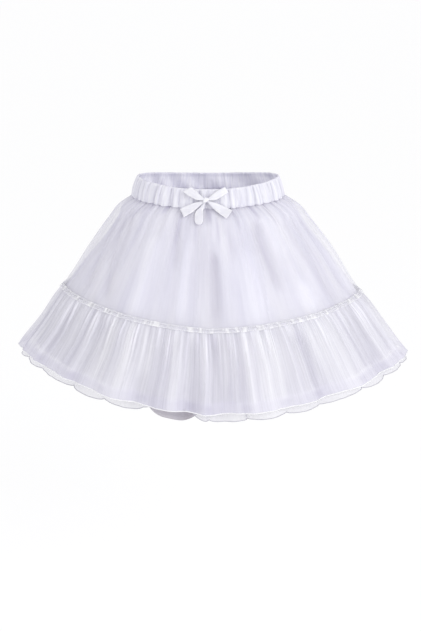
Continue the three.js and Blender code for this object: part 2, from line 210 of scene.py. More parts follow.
def cloth_piece(name, points, across, down, around=False, **measures):
    """A piece of cloth through rows of points, with its UV map in metres of cut cloth. A piece that
    goes around is a tube, whose rows meet again and whose two ends are closed. Each measure is a value
    for every point, kept as an attribute for the material to read."""
    rows, columns = points.shape[:2]
    i, j = np.meshgrid(np.arange(rows if around else rows - 1), np.arange(columns - 1), indexing="ij")
    below = (i + 1) % rows
    start, end = i * columns + j, below * columns + j
    faces = np.stack([start, end, end + 1, start + 1], axis=-1).reshape(-1, 4).tolist()
    down = np.append(down, 2 * down[-1] - down[-2])
    u = np.stack([across[j], across[j], across[j + 1], across[j + 1]], axis=-1).reshape(-1)
    v = np.stack([down[i], down[i + 1], down[i + 1], down[i]], axis=-1).reshape(-1)
    if around:
        section = np.arange(rows) * columns
        faces += [section[::-1].tolist(), (section + columns - 1).tolist()]
        u = np.concatenate([u, np.full(rows, across[0]), np.full(rows, across[-1])])
        v = np.concatenate([v, down[:rows][::-1], down[:rows]])
    mesh = bpy.data.meshes.new(name)
    mesh.from_pydata(points.reshape(-1, 3).tolist(), [], faces)
    uv_map = mesh.uv_layers.new(name="cloth")
    uv_map.data.foreach_set("uv", np.stack([u, v], axis=-1).astype(np.float32).reshape(-1))
    for measure, value in measures.items():
        attribute = mesh.attributes.new(measure, "FLOAT", "POINT")
        value = np.broadcast_to(value, (rows, columns))
        attribute.data.foreach_set("value", value.astype(np.float32).reshape(-1))
    mesh.shade_smooth()
    piece = bpy.data.objects.new(name, mesh)
    bpy.context.collection.objects.link(piece)
    return piece


def node_adder(tree):
    """A way to add a node to a tree, with each input linked or set and each setting made."""
    def add(kind, inputs=None, **settings):
        node = tree.nodes.new(kind)
        for setting, value in settings.items():
            setattr(node, setting, value)
        for socket, value in (inputs or {}).items():
            if isinstance(value, bpy.types.NodeSocket):
                tree.links.new(value, node.inputs[socket])
            else:
                node.inputs[socket].default_value = value
        return node
    return add


def finish_named(name, **sockets):
    """A node material on the principled shader, with its constants set, and a way to add nodes."""
    material = bpy.data.materials.new(name)
    material.use_nodes = True
    tree = material.node_tree
    shader = tree.nodes["Principled BSDF"]
    for socket, value in sockets.items():
        shader.inputs[socket.replace("_", " ")].default_value = value
    return material, tree, shader, node_adder(tree)


def in_hollows(add, colour, shade, depth):
    """The cloth's colour, turned towards a shade colour by its attribute of painted shade, which is high
    deep in a fold and under a hem: shade painted into the colour."""
    hollow = add("ShaderNodeAttribute", attribute_name="hollow").outputs["Fac"]
    share = add("ShaderNodeMath", {0: hollow, 1: depth}, operation="MULTIPLY", use_clamp=True)
    shaded = add("ShaderNodeMix", {"Factor": share.outputs[0]}, data_type="RGBA")
    shaded.inputs["B"].default_value = (*shade, 1)
    shaded.id_data.links.new(colour, shaded.inputs["A"])
    return shaded.outputs["Result"]


def cloth_map(add, across, down):
    """The cloth's UV map stretched so that one unit is so many metres across and down."""
    place = add("ShaderNodeUVMap", uv_map="cloth").outputs["UV"]
    stretched = add("ShaderNodeMapping", {"Vector": place, "Scale": (1 / across, 1 / down, 1)})
    return stretched.outputs["Vector"]


def threads(add, across, down, distortion, direction="X"):
    """Fine parallel threads over the stretched map."""
    return add("ShaderNodeTexWave", {"Vector": cloth_map(add, across, down), "Scale": 1.0,
        "Distortion": distortion}, bands_direction=direction).outputs["Fac"]


def clouds(add, across, down, detail=2.0, roughness=0.5):
    """Soft cloudy streaks, about one to each unit of the stretched map."""
    return add("ShaderNodeTexNoise", {"Vector": cloth_map(add, across, down), "Scale": 1.0,
        "Detail": detail, "Roughness": roughness}).outputs["Fac"]


def remap(add, value, low, high, to_low, to_high):
    """A value moved from one range into another and held inside it."""
    return add("ShaderNodeMapRange", {"Value": value, "From Min": low, "From Max": high,
        "To Min": to_low, "To Max": to_high}).outputs[0]


def two_tones(add, pattern, dark, light, start=0.0, end=1.0):
    """A colour that goes from dark to light while a pattern rises from the start to the end."""
    ramp = add("ShaderNodeValToRGB", {"Fac": pattern})
    for stop, colour, place in zip(ramp.color_ramp.elements, (dark, light), (start, end)):
        stop.color = (*colour, 1)
        stop.position = place
    return ramp.outputs["Color"]


def raised(add, height, strength, distance, over=None):
    """The normal of a surface raised by a pattern, over what a finer pattern has raised already."""
    finer = {} if over is None else {"Normal": over}
    relief = {"Height": height, "Strength": strength, "Distance": distance}
    return add("ShaderNodeBump", relief | finer).outputs["Normal"]


cotton, tree, shader, add = finish_named(
    "gathered_cotton", Roughness=0.85, Sheen_Weight=0.15, Sheen_Roughness=0.5, Specular_IOR_Level=0.25
)
weft = threads(add, 0.0028, 0.0028, 0.6, "Y")
warp = threads(add, 0.0028, 0.0028, 0.6)
weave = add("ShaderNodeMath", {0: weft, 1: warp}, operation="ADD").outputs[0]
puckers = clouds(add, 0.0035, 0.02, 3.0, 0.55)
cotton_tone = two_tones(add, puckers, (0.75, 0.74, 0.835), (0.88, 0.877, 0.92), 0.3, 0.62)
cotton_relief = raised(add, puckers, 0.5, 0.0016, over=raised(add, weave, 0.12, 0.0002))
# The cotton's colour turns towards a bluish grey where painted shade is laid on it.
tree.links.new(in_hollows(add, cotton_tone, (0.36, 0.35, 0.46), 0.56), shader.inputs["Base Color"])
tree.links.new(cotton_relief, shader.inputs["Normal"])

# The band's section, from the inner lower edge up the inside, over the rounded top fold and down the
# outside: how far down its height each point is, and how far out of the middle of its wall.
BAND_SECTION = [(1, -0.6), (0.985, -0.95), (0.9, -1), (0.7, -0.9), (0.5, -0.85), (0.3, -0.85), (0.12, -1),
    (0.03, -0.8), (0, -0.3), (0, 0.3), (0.03, 0.8), (0.12, 1), (0.3, 1.1), (0.5, 1.15), (0.7, 1.1),
    (0.86, 0.85), (0.93, 0.6), (0.97, 0.95), (0.995, 0.9), (1.0, 0.3)]
BAND_COLUMNS = WAIST_GATHERS * 18 + 1
for side, middle in SIDES:
    share = np.linspace(0, 1, BAND_COLUMNS)
    angle = middle - 90 + 180 * share
    phase = gather_phase(share, WAIST_GATHERS, middle)
    down, wall = np.array(BAND_SECTION).T[:, ::-1, None]
    ridge = np.floor(phase)
    lean = 0.16 * np.sin(1.3 * ridge + 0.4) * down
    gather = band_gather(phase + lean)
    creases = 0.22 * np.sin(2 * np.pi * (2.3 * phase + 0.35 * np.sin(1.7 * phase) + 0.5 * down))
    swell = BAND_GATHER_DEPTH * gather * (0.85 + 0.3 * np.sin(2.1 * ridge + 3 * down))
    nick_at = 0.5 + 0.3 * np.sin(2.7 * ridge + 1) + 0.3 * (down - 0.5) * np.sin(1.9 * ridge)
    nick = bump(phase - ridge - nick_at, 0.1) * np.sin(1.7 * ridge + 0.6) ** 2
    slanted = 0.9 * (wall < 0) * np.sin(2 * np.pi * (6.3 * share + 0.55 * down + 0.3 * np.sin(9 * share)))
    out = swell + creases - 0.45 * nick * (wall > 0) + slanted + 0.5 * BAND_WALL * wall
    drop = BAND_TOP + (BAND_FOOT - BAND_TOP) * down + 0.35 * (down > 0.96) * gather
    points = ring_points(BAND_RINGS, drop, angle[None, :], out)
    strip = BAND_CUT["width"] * share
    section_length = BAND_MAP_HEIGHT * np.linspace(0, 2, len(BAND_SECTION))
    # Painted shade on the band: in the valleys of its gathers and in the nicks, over its inner face along
    # its slanted folds, just under the top fold inside and along the stitched foot, with none on the top
    # fold.
    valley = np.clip(0.5 - 0.5 * gather, 0, 1) ** 1.25
    valley = valley * (0.85 + 0.35 * np.sin(2.3 * np.round(phase + lean) + 1))
    inner_shade = 0.4 + 0.3 * np.sign(slanted) * np.abs(slanted) ** 0.5
    band_painted_shade = np.where(wall < 0, inner_shade, valley + 0.5 * nick) * ease(down, 0.01, 0.14)
    band_painted_shade = band_painted_shade + 0.7 * (down > 0.95) * valley + 0.5 * (wall < 0) * bump(down - 0.1, 0.08)
    band = cloth_piece(f"cotton_band_{side}", points, strip, section_length, around=True, hollow=band_painted_shade)
    band.data.materials.append(cotton)
    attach(band, "root")
    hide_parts(f"waistband_{side}")

# Stitches are a run of short cotton threads that lie along a seam. One tree lays them on a line of
# points, and every sewn line of the skirt uses it.
stitch_tree = bpy.data.node_groups.new("stitch_run", "GeometryNodeTree")
for socket, kind in (("Seam Line", "NodeSocketGeometry"), ("Stitch Step", "NodeSocketFloat"),
        ("Stitch Length", "NodeSocketFloat"), ("Thread Width", "NodeSocketFloat"),
        ("Thread", "NodeSocketMaterial")):
    stitch_tree.interface.new_socket(socket, in_out="INPUT", socket_type=kind)
stitch_tree.interface.new_socket("Stitches", in_out="OUTPUT", socket_type="NodeSocketGeometry")

sew = node_adder(stitch_tree)
sizes = sew("NodeGroupInput").outputs
seam = sew("GeometryNodeMeshToCurve", {"Mesh": sizes["Seam Line"]})
places = sew("GeometryNodeResampleCurve", {"Curve": seam.outputs["Curve"],
    "Length": sizes["Stitch Step"]}, mode="LENGTH")
half = sew("ShaderNodeMath", {0: sizes["Stitch Length"], 1: 0.5}, operation="MULTIPLY")
thread_scale = sew("ShaderNodeCombineXYZ", {"X": sizes["Thread Width"],
    "Y": sizes["Thread Width"], "Z": half.outputs[0]})
direction = sew("GeometryNodeInputTangent")
turned = sew("FunctionNodeAlignRotationToVector", {"Vector": direction.outputs["Tangent"]},
    axis="Z")
thread_shape = sew("GeometryNodeMeshIcoSphere", {"Radius": 1.0, "Subdivisions": 1})
laid = sew("GeometryNodeInstanceOnPoints", {"Points": places.outputs["Curve"],
    "Instance": thread_shape.outputs["Mesh"], "Rotation": turned.outputs["Rotation"],
    "Scale": thread_scale.outputs["Vector"]})
real = sew("GeometryNodeRealizeInstances", {"Geometry": laid.outputs["Instances"]})
coloured = sew("GeometryNodeSetMaterial", {"Geometry": real.outputs["Geometry"],
    "Material": sizes["Thread"]})
sew("NodeGroupOutput", {"Stitches": coloured.outputs["Geometry"]})

thread, tree, shader, add = finish_named("sewing_thread", Roughness=0.7, Sheen_Weight=0.2)
along_thread = add("ShaderNodeTexCoord").outputs["Object"]
twist = add("ShaderNodeTexNoise", {"Vector": along_thread, "Scale": 900.0}).outputs["Fac"]
thread_tone = two_tones(add, twist, (0.90, 0.895, 0.95), (0.95, 0.95, 0.98))
tree.links.new(thread_tone, shader.inputs["Base Color"])


def stitch_run(name, line, step, length, width):
    """Stitches along a line of points, as a plain mesh."""
    seam_mesh = bpy.data.meshes.new(name)
    seam_mesh.from_pydata(line.tolist(), [(k, k + 1) for k in range(len(line) - 1)], [])
    seam_object = bpy.data.objects.new(name, seam_mesh)
    bpy.context.collection.objects.link(seam_object)
    sewing = seam_object.modifiers.new("sewing", "NODES")
    sewing.node_group = stitch_tree
    values = {"Stitch Step": step, "Stitch Length": length, "Thread Width": width, "Thread": thread}
    for item in stitch_tree.interface.items_tree:
        if item.in_out == "INPUT" and item.name in values:
            sewing[item.identifier] = values[item.name]
    seam_object.update_tag()
    seen = bpy.context.evaluated_depsgraph_get()
    stitches = bpy.data.meshes.new_from_object(seam_object.evaluated_get(seen))
    stitches.name = name
    stitches.materials.clear()
    stitches.materials.append(thread)
    seam_object.modifiers.remove(sewing)
    seam_object.data = stitches
    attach(seam_object, "root")
    return seam_object


BAND_STITCH = {"step": 0.0026, "length": 0.0019, "width": 0.00022}
BAND_STITCH_ROW = 0.93
for side, middle in SIDES:
    share = np.linspace(0.004, 0.996, 400)
    height = gather_height(gather_phase(share, WAIST_GATHERS, middle))
    out = 0.5 * BAND_WALL * 0.62 + BAND_GATHER_DEPTH * height * 0.9 + 0.25
    seam_line = ring_points(BAND_RINGS, BAND_TOP + BAND_STITCH_ROW * (BAND_FOOT - BAND_TOP),
        middle - 90 + 180 * share, out)
    stitch_run(f"band_stitches_{side}", seam_line, **BAND_STITCH)

# ---------------------------------------------------------------------------------------------------
# The upper tier is soft tulle, a net of fine threads. A front and a back panel are gathered tightly
# into the waistband, and the gathers open out downwards into a few large soft folds that drift from
# upright. The tier seam and the side seams hold the folds back.
# ---------------------------------------------------------------------------------------------------
TIER_SEAM = 153
HEM = 245
TULLE_RINGS = table(RING_COLUMNS,
    (14.9, 102.9, 79.1, 5.4, 2, 0, 0.2, 1),
    (26, 119.2, 92.8, 6.2, 1.9, -0.6, 1.4, 1.08),
    (48, 137.2, 107.6, 7.8, 1.75, -1.3, 2.6, 1.17),
    (88.5, 165.6, 131, 10.8, 1.5, -2.7, 4, 1.28),
    (TIER_SEAM, 206.8, 165.5, 15, 1.2, -4.4, 5, 1.4),
    (164, 216, 173.5, 15.6, 1.2, -4.5, 5.5, 1.43),
    (198, 239.5, 192, 17, 1.2, -4.9, 7, 1.5),
    (HEM, 274.5, 220, 19, 1.2, -5.4, 7.5, 1.6),
    (265, 289, 232, 20, 1.2, -3.6, 11, 1.6),
)
# Each large fold of the front: its angle at the top, how far it drifts on the way down, its half width
# in degrees, how far it pushes the cloth out (+) or lets it fall in (-), and the depths it runs between.
FOLDS = table("at drift spread push top foot",
    (-77, 0, 4, -3, 30, 262),
    (-69, 10, 5, -4, 30, TIER_SEAM),
    (-62, 18, 4, -4, 20, TIER_SEAM),
    (-57.7, 0, 3.5, -3, TIER_SEAM, 262),
    (-40, -2, 4.5, -4.5, TIER_SEAM, 262),
    (-32, 2, 6.5, 4, 42, 262),
    (-20.8, 3.5, 3.5, -3, 22, 95),
    (-22, 0, 3.5, -3, 200, 270),
    (-12.7, 0, 3.5, 3, 40, 160),
    (-6.7, 0, 3.5, -4, TIER_SEAM, 262),
    (1.2, 1, 4, -6, 55, 270),
    (10.4, 0, 3.5, -3, 28, 82),
    (18.5, -3, 6.5, 4, 55, 262),
    (29.4, 0, 4.5, -5, 22, 122),
    (28.8, 3, 4.5, -4, TIER_SEAM, 262),
    (38, 0, 6.5, 3.5, 15, 82),
    (42, 0, 7, 3.5, 100, 262),
    (56, 1, 5, -3.5, 28, 262),
    (65, 3, 4.5, -3.5, 28, TIER_SEAM),
    (79, -8, 4.5, 2.5, 60, 262),
)
FOLD_FADE = 22
FOLD_ROUNDNESS = 0.62
BACK_FOLDS = {"turn": 7, "share": 0.9}
SEAM_HOLD = {"tier": 0.7, "tier_reach": 12, "side_reach": 8}
# Short tucks below the waistband, drawn only as painted shade (+) and painted highlight (-) on the net: the
# angle of each, how far it drifts on the way down, its half width, its depths, and how much painted shade
# or highlight it puts on the net.
TUCK_SHADES = table("at drift half top foot shade",
    (-52, -4, 2.5, 16, 52, 0.7),
    (-47.8, 0, 1.2, 14, 32, 1.2),
    (-31.7, 0, 1.0, 14, 26, 1.3),
    (-26, 0, 2.2, 18, 50, -0.4),
    (-17.8, -1, 1.4, 14, 78, 1.2),
    (-8, 0, 1.2, 22, 64, 0.9),
    (-3, 0, 4, 28, 150, 0.6),
    (0.4, 0, 2.2, 14, 36, 1.5),
    (2.8, -1, 0.8, 18, 58, -1.5),
    (4.9, 0, 1.2, 22, 66, 0.9),
    (9, 0, 3.2, 34, 112, -0.6),
    (17.3, 0, 1, 18, 44, 0.9),
    (24.2, 4, 1.8, 30, 104, 0.7),
    (32.6, 0, 1.5, 14, 32, 1.2),
    (41, 0, 1.2, 16, 46, 0.8),
)
UPPER_TOP = 14.5
UPPER_FOOT = 152.85
UPPER_ROWS = [dict(drop=14.9, gather=1.1), dict(drop=26, gather=1.1), dict(drop=48, gather=0.9),
    dict(drop=88.5, gather=0.3), dict(drop=UPPER_FOOT, gather=0)]
UPPER_FINE_ROWS = [dict(drop=14.9, gather=0.5), dict(drop=30, gather=0.5), dict(drop=60, gather=0.2),
    dict(drop=UPPER_FOOT, gather=0.05)]
LAST_GATHER = 152
UPPER_CUT = {"width": 0.60, "height": 0.165}


def plateau(distance, reach):
    """1 near no distance, with a flat top and a quick fall to nothing past the reach."""
    return np.exp(-((distance / reach) ** 4))


def fold_push(angle, drop):
    """How far the large folds push the cloth out, in millimetres."""
    on_back = np.cos(np.radians(angle)) < 0
    across = np.where(on_back, 180 - angle, angle)
    turn = np.where(on_back, BACK_FOLDS["turn"], 0)
    push = 0
    for fold in FOLDS:
        along = (drop - fold["top"]) / (fold["foot"] - fold["top"])
        start = ease(drop, fold["top"], fold["top"] + FOLD_FADE)
        end = 1 - ease(drop, fold["foot"] - FOLD_FADE, fold["foot"])
        at = fold["at"] + turn + fold["drift"] * along
        push = push + fold["push"] * start * end * bump(across - at, FOLD_ROUNDNESS * fold["spread"])
    side_hold = np.clip((90 - np.abs(across)) / SEAM_HOLD["side_reach"], 0, 1)
    seam_hold = 1 - SEAM_HOLD["tier"] * bump(drop - TIER_SEAM, SEAM_HOLD["tier_reach"])
    return push * side_hold * seam_hold * np.where(on_back, BACK_FOLDS["share"], 1)


def tuck_shade(angle, drop):
    """How much painted shade (+) or painted highlight (-) the short tucks put on the net, the same on the
    back a little further round.
    """
    on_back = np.cos(np.radians(angle)) < 0
    across = np.where(on_back, 180 - angle - BACK_FOLDS["turn"], angle)
    shade = 0
    for tuck in TUCK_SHADES:
        run = tuck["foot"] - tuck["top"]
        start = ease(drop, tuck["top"] - 2, tuck["top"] + 0.25 * run)
        end = 1 - ease(drop, tuck["top"] + 0.4 * run, tuck["foot"])
        at = tuck["at"] + tuck["drift"] * (drop - tuck["top"]) / run
        shade = shade + tuck["shade"] * (start * end) * bump(across - at, tuck["half"])
    return shade


def gathered_fullness(points, smooth):
    """How much longer the cloth runs along its gathers than along the smooth skirt under them."""
    def lengths(grid):
        steps = np.linalg.norm(np.diff(grid, axis=1), axis=2)
        return np.pad(steps, ((0, 0), (1, 1)), mode="edge")
    ratio = lengths(points) / np.maximum(lengths(smooth), 1e-7)
    return 0.5 * (ratio[:, 1:] + ratio[:, :-1])


def laps(phase, reach, drift=0.0):
    """Where the gathers fold over and the net lies double: a sharp edge that fades to one side."""
    phase = phase + drift
    size = 0.5 + 0.5 * np.sin(3.7 * np.floor(phase) + 1)
    return size * np.exp(-(phase - np.floor(phase)) / reach)


def fold_hollow(folds):
    """Painted shade from the large folds: 0 on the crest of a large fold and 1 at the bottom of a deep one,
    from how far it pushes out.
    """
    return np.clip(0.36 - folds / 7.5, 0, 1.1)


NET_SHADE = (0.46, 0.44, 0.565)


def tulle_finish(name, veil, dark, light, streak_width, shade, lines=0.04):
    """Sheer net: its threads, its doubled laps and its streaks decide how much shows through."""
    material, tree, shader, add = finish_named(
        name, Roughness=0.9, Sheen_Weight=0.15, Sheen_Roughness=0.4, Specular_IOR_Level=0.15
    )
    streaks = clouds(add, streak_width, 0.16)
    hairs = clouds(add, 0.0028, 0.07)
    net = add("ShaderNodeTexVoronoi", {"Vector": cloth_map(add, 0.0011, 0.0011), "Scale": 1.0,
        "Randomness": 0.25}, feature="DISTANCE_TO_EDGE").outputs["Distance"]
    fullness = add("ShaderNodeAttribute", attribute_name="fullness").outputs["Fac"]
    cover = remap(add, fullness, 1.0, 2.0, 0.88, 1.5)
    for share in (
        remap(add, streaks, 0.3, 0.7, 0.88, 1.12),
        remap(add, hairs, 0.3, 0.7, 1 - lines, 1 + lines),
        remap(add, net, 0.05, 0.28, 1.07, 0.92),
    ):
        cover = add("ShaderNodeMath", {0: cover, 1: share}, operation="MULTIPLY").outputs[0]
    cover = add("ShaderNodeMath", {0: cover, 1: veil}, operation="MULTIPLY", use_clamp=True)
    tone = two_tones(add, streaks, dark, light, 0.34, 0.66)
    # The net's colour takes painted shade where the cloth's attribute of painted shade is high.
    tree.links.new(in_hollows(add, tone, NET_SHADE, shade), shader.inputs["Base Color"])
    tree.links.new(cover.outputs[0], shader.inputs["Alpha"])
    return material


upper_tulle = tulle_finish("upper_tulle", veil=0.46, dark=(0.885, 0.88, 0.95),
    light=(0.968, 0.964, 0.982), streak_width=0.024, shade=0.32)
for side, middle in SIDES:
    share = np.linspace(0, 1, WAIST_GATHERS * 16 + 1)
    angle = (middle - 90 + 180 * share)[None, :]
    drop = (UPPER_TOP + (UPPER_FOOT - UPPER_TOP) * np.linspace(0, 1, 56) ** 1.25)[:, None]
    below_band = drop - UPPER_TOP
    phase = gather_phase(share, WAIST_GATHERS, middle)
    height = gather_height(phase)
    length_of_gather = 1 + 0.45 * np.sin(2.7 * np.floor(phase) + 1)
    reach = np.minimum(drop / length_of_gather + 8, LAST_GATHER)
    main = along_rows(UPPER_ROWS, "gather", reach) * height
    main = main * (1 + 0.7 * bump(below_band, 6) * (height < 0))
    fine_phase = 1.5 * phase + 0.4 * np.sin(1.3 * phase)
    fine = along_rows(UPPER_FINE_ROWS, "gather", drop) * np.sin(2 * np.pi * fine_phase)
    folds = fold_push(angle, drop)
    points = ring_points(TULLE_RINGS, drop, angle, main + fine + folds)
    smooth = ring_points(TULLE_RINGS, drop, angle, folds)
    doubled = laps(gather_phase(share, 11, middle + 1), 0.5, 0.12 * np.sin(drop / 41 + 5 * share))
    fullness = gathered_fullness(points, smooth) + 0.35 * doubled * ease(drop, 20, 60)
    # Painted shade on the upper net: in the large folds, in the valleys of the gathers just under the band,
    # in a thin line along the band's foot, and from the short tucks.
    gather_valley_shade = (0.5 - 0.5 * height) ** 2 * (0.5 + 0.5 * np.sin(2.9 * np.floor(phase)))
    hollow = fold_hollow(folds) + gather_valley_shade * (1.7 * bump(below_band, 6) + 0.25 * bump(below_band, 40))
    hollow = hollow + 0.4 * bump(below_band, 2.5) + 1.25 * tuck_shade(angle, drop)
    panel = cloth_piece(f"tulle_upper_{side}", points, UPPER_CUT["width"] * share,
        drop[:, 0] * MM, fullness=fullness, hollow=hollow)
    panel.data.materials.append(upper_tulle)
    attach(panel, "root")
    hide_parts(f"upper_tulle_{side}")

# ---------------------------------------------------------------------------------------------------
# The lining is an opaque cotton underskirt with a plain turned hem. It is sewn into the waistband with
# the tulle, follows its large folds from inside, and hangs lower in one soft scoop at the front.
# ---------------------------------------------------------------------------------------------------
LINING_ROWS = [dict(drop=13.4, inset=3.5), dict(drop=17, inset=3.2), dict(drop=48, inset=11.5),
    dict(drop=TIER_SEAM, inset=6), dict(drop=198, inset=13), dict(drop=240, inset=19.5)]
LINING_SCOOP = {"at": -11.8, "reach": 8.2, "depth": 25}
LINING_CUT = {"width": 0.69, "height": 0.25}
LINING_WALL = 0.0006

lining_cotton, tree, shader, add = finish_named(
    "lining_cotton", Roughness=0.85, Sheen_Weight=0.1, Specular_IOR_Level=0.25
)
drape = clouds(add, 0.02, 0.2, 3.0)
lining_weft = threads(add, 0.003, 0.003, 0.8, "Y")
lining_tone = two_tones(add, drape, (0.80, 0.79, 0.885), (0.905, 0.90, 0.96), 0.3, 0.7)
lining_relief = raised(add, drape, 0.35, 0.004, over=raised(add, lining_weft, 0.1, 0.0002))
# The lining's colour turns towards a pinkish grey where painted shade is laid on it.
tree.links.new(in_hollows(add, lining_tone, (0.42, 0.38, 0.405), 0.3), shader.inputs["Base Color"])
tree.links.new(lining_relief, shader.inputs["Normal"])


def give_thickness(piece, thickness, offset):
    """Makes a sheet as thick as its cloth, inwards (-1) or to both sides of it (0)."""
    wall = piece.modifiers.new("cloth_wall", "SOLIDIFY")
    wall.thickness = thickness
    wall.offset = offset


def hem_shares(middle, columns):
    """Angles at equal lengths of hem across one side."""
    fine = np.linspace(-90, 90, 721)
    hem = ring_points(TULLE_RINGS, float(HEM), fine)[:, :2]
    length = np.concatenate([[0], np.cumsum(np.linalg.norm(np.diff(hem, axis=0), axis=1))])
    share = np.linspace(0, 1, columns)
    return share, middle + np.interp(share * length[-1], length, fine)


for side, middle in SIDES:
    share, angle = hem_shares(middle, 241)
    down = np.linspace(0, 1, 60)[:, None]
    drop = LINING_ROWS[0]["drop"] + (LINING_ROWS[-1]["drop"] - LINING_ROWS[0]["drop"]) * down
    ripple = 0.5 * np.sin(2 * np.pi * (17 * share + 0.4 * np.sin(9 * share))) * down
    folds = fold_push(angle, drop)
    out = folds - along_rows(LINING_ROWS, "inset", drop) + ripple
    scoop = LINING_SCOOP["depth"] * plateau(angle - LINING_SCOOP["at"], LINING_SCOOP["reach"])
    points = ring_points(TULLE_RINGS, drop, angle, out, scoop * ease(down, 0.35, 1))
    # Painted shade on the lining: in its large folds, and a deep patch of it just above the hem at the
    # scoop.
    lining = cloth_piece(f"cotton_lining_{side}", points, LINING_CUT["width"] * share, drop[:, 0] * MM,
        hollow=fold_hollow(folds) + 1.5 * plateau(angle - LINING_SCOOP["at"], 10) * ease(down, 0.88, 0.93))
    lining.data.materials.append(lining_cotton)
    give_thickness(lining, LINING_WALL, -1)
    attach(lining, "root")
    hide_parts(f"lining_{side}")

# ---------------------------------------------------------------------------------------------------
# The ruffle is a straight strip of the same tulle, gathered closely along its top edge and sewn to the
# upper tier. Its hem is rolled and overcast with white thread, which makes a fine firm bead that dips
# in and out with the gathers.
# ---------------------------------------------------------------------------------------------------
RUFFLE_GATHERS = 36
RUFFLE_TOP = 153.15
RUFFLE_ROWS = [
    dict(drop=RUFFLE_TOP, gather=0.4, wave=0, fine=0.4),
    dict(drop=164, gather=1.3, wave=0.3, fine=0.6),
    dict(drop=198, gather=1.3, wave=1.2, fine=0.2),
    dict(drop=HEM, gather=0.7, wave=2.4, fine=0.06),
]
RUFFLE_CUT = {"width": 0.86, "height": 0.115}
# The scallops of the hems on the front or the back: how many, how much they crowd together towards
# the centre (1 is evenly spaced), and how many degrees each point may lie off its even place.
SCALLOPS = {"count": 14, "crowding": 1.25, "uneven": 1.8}
# Where two scallops meet, a patch of painted shade darkens the net just above the hem.
SCALLOP_SHADE = {"half_width": 1.6, "drop": 239.5, "reach": 4, "shade": 0.5}
HEM_WAVES = 24
RUFFLE_BEAD = 0.65


def scallop_points():
    """The angles across one side, from seam to seam, at which two scallops of a hem meet."""
    across = np.linspace(-1, 1, SCALLOPS["count"] + 1)
    uneven = SCALLOPS["uneven"] * np.sin(2.4 * np.arange(len(across))) * (1 - across ** 2)
    return 90 * np.sign(across) * np.abs(across) ** SCALLOPS["crowding"] + uneven


def hem_wave(angle):
    """The slow wave of the ruffle towards its hem, uneven round the skirt, from -1 to 1."""
    a = np.radians(angle)
    held = 1 - 0.8 * np.abs(np.sin(a)) ** 6
    return held * np.cos(HEM_WAVES * a + 1.1 * np.sin(3 * a + 0.5) + 0.7 * np.sin(5 * a))


def hem_bead(name, line, radius, cut_width):
    """A rolled hem: a thin round bead along the last row of a piece of cloth."""
    ahead = np.gradient(line, axis=0)
    outward = np.cross(ahead, (0, 0, -1))
    outward = outward / np.linalg.norm(outward, axis=1)[:, None]
    around = np.linspace(0, 2 * np.pi, 7)[:-1, None, None]
    section = np.cos(around) * outward - np.sin(around) * np.array((0, 0, 1.0))
    bead = cloth_piece(name, line + radius * MM * section, cut_width * np.linspace(0, 1, len(line)),
        2 * np.pi * radius * MM * np.linspace(0, 1, 6), around=True)
    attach(bead, "root")
    return bead


def rolled_hem_finish(name, dark, light, roughness, sheen):
    """The close overcast stitches round a rolled hem, and their pattern for a relief."""
    material, tree, shader, add = finish_named(name, Roughness=roughness, Sheen_Weight=sheen)
    overcast = threads(add, 0.0035, 1, 1.2)
    tree.links.new(two_tones(add, overcast, dark, light), shader.inputs["Base Color"])
    return material, tree, shader, add, overcast


rolled_white, tree, shader, add, overcast = rolled_hem_finish(
    "rolled_hem_white", (0.95, 0.95, 0.98), (1.0, 1.0, 1.0), roughness=0.6, sheen=0.3
)
tree.links.new(raised(add, overcast, 0.5, 0.0003), shader.inputs["Normal"])

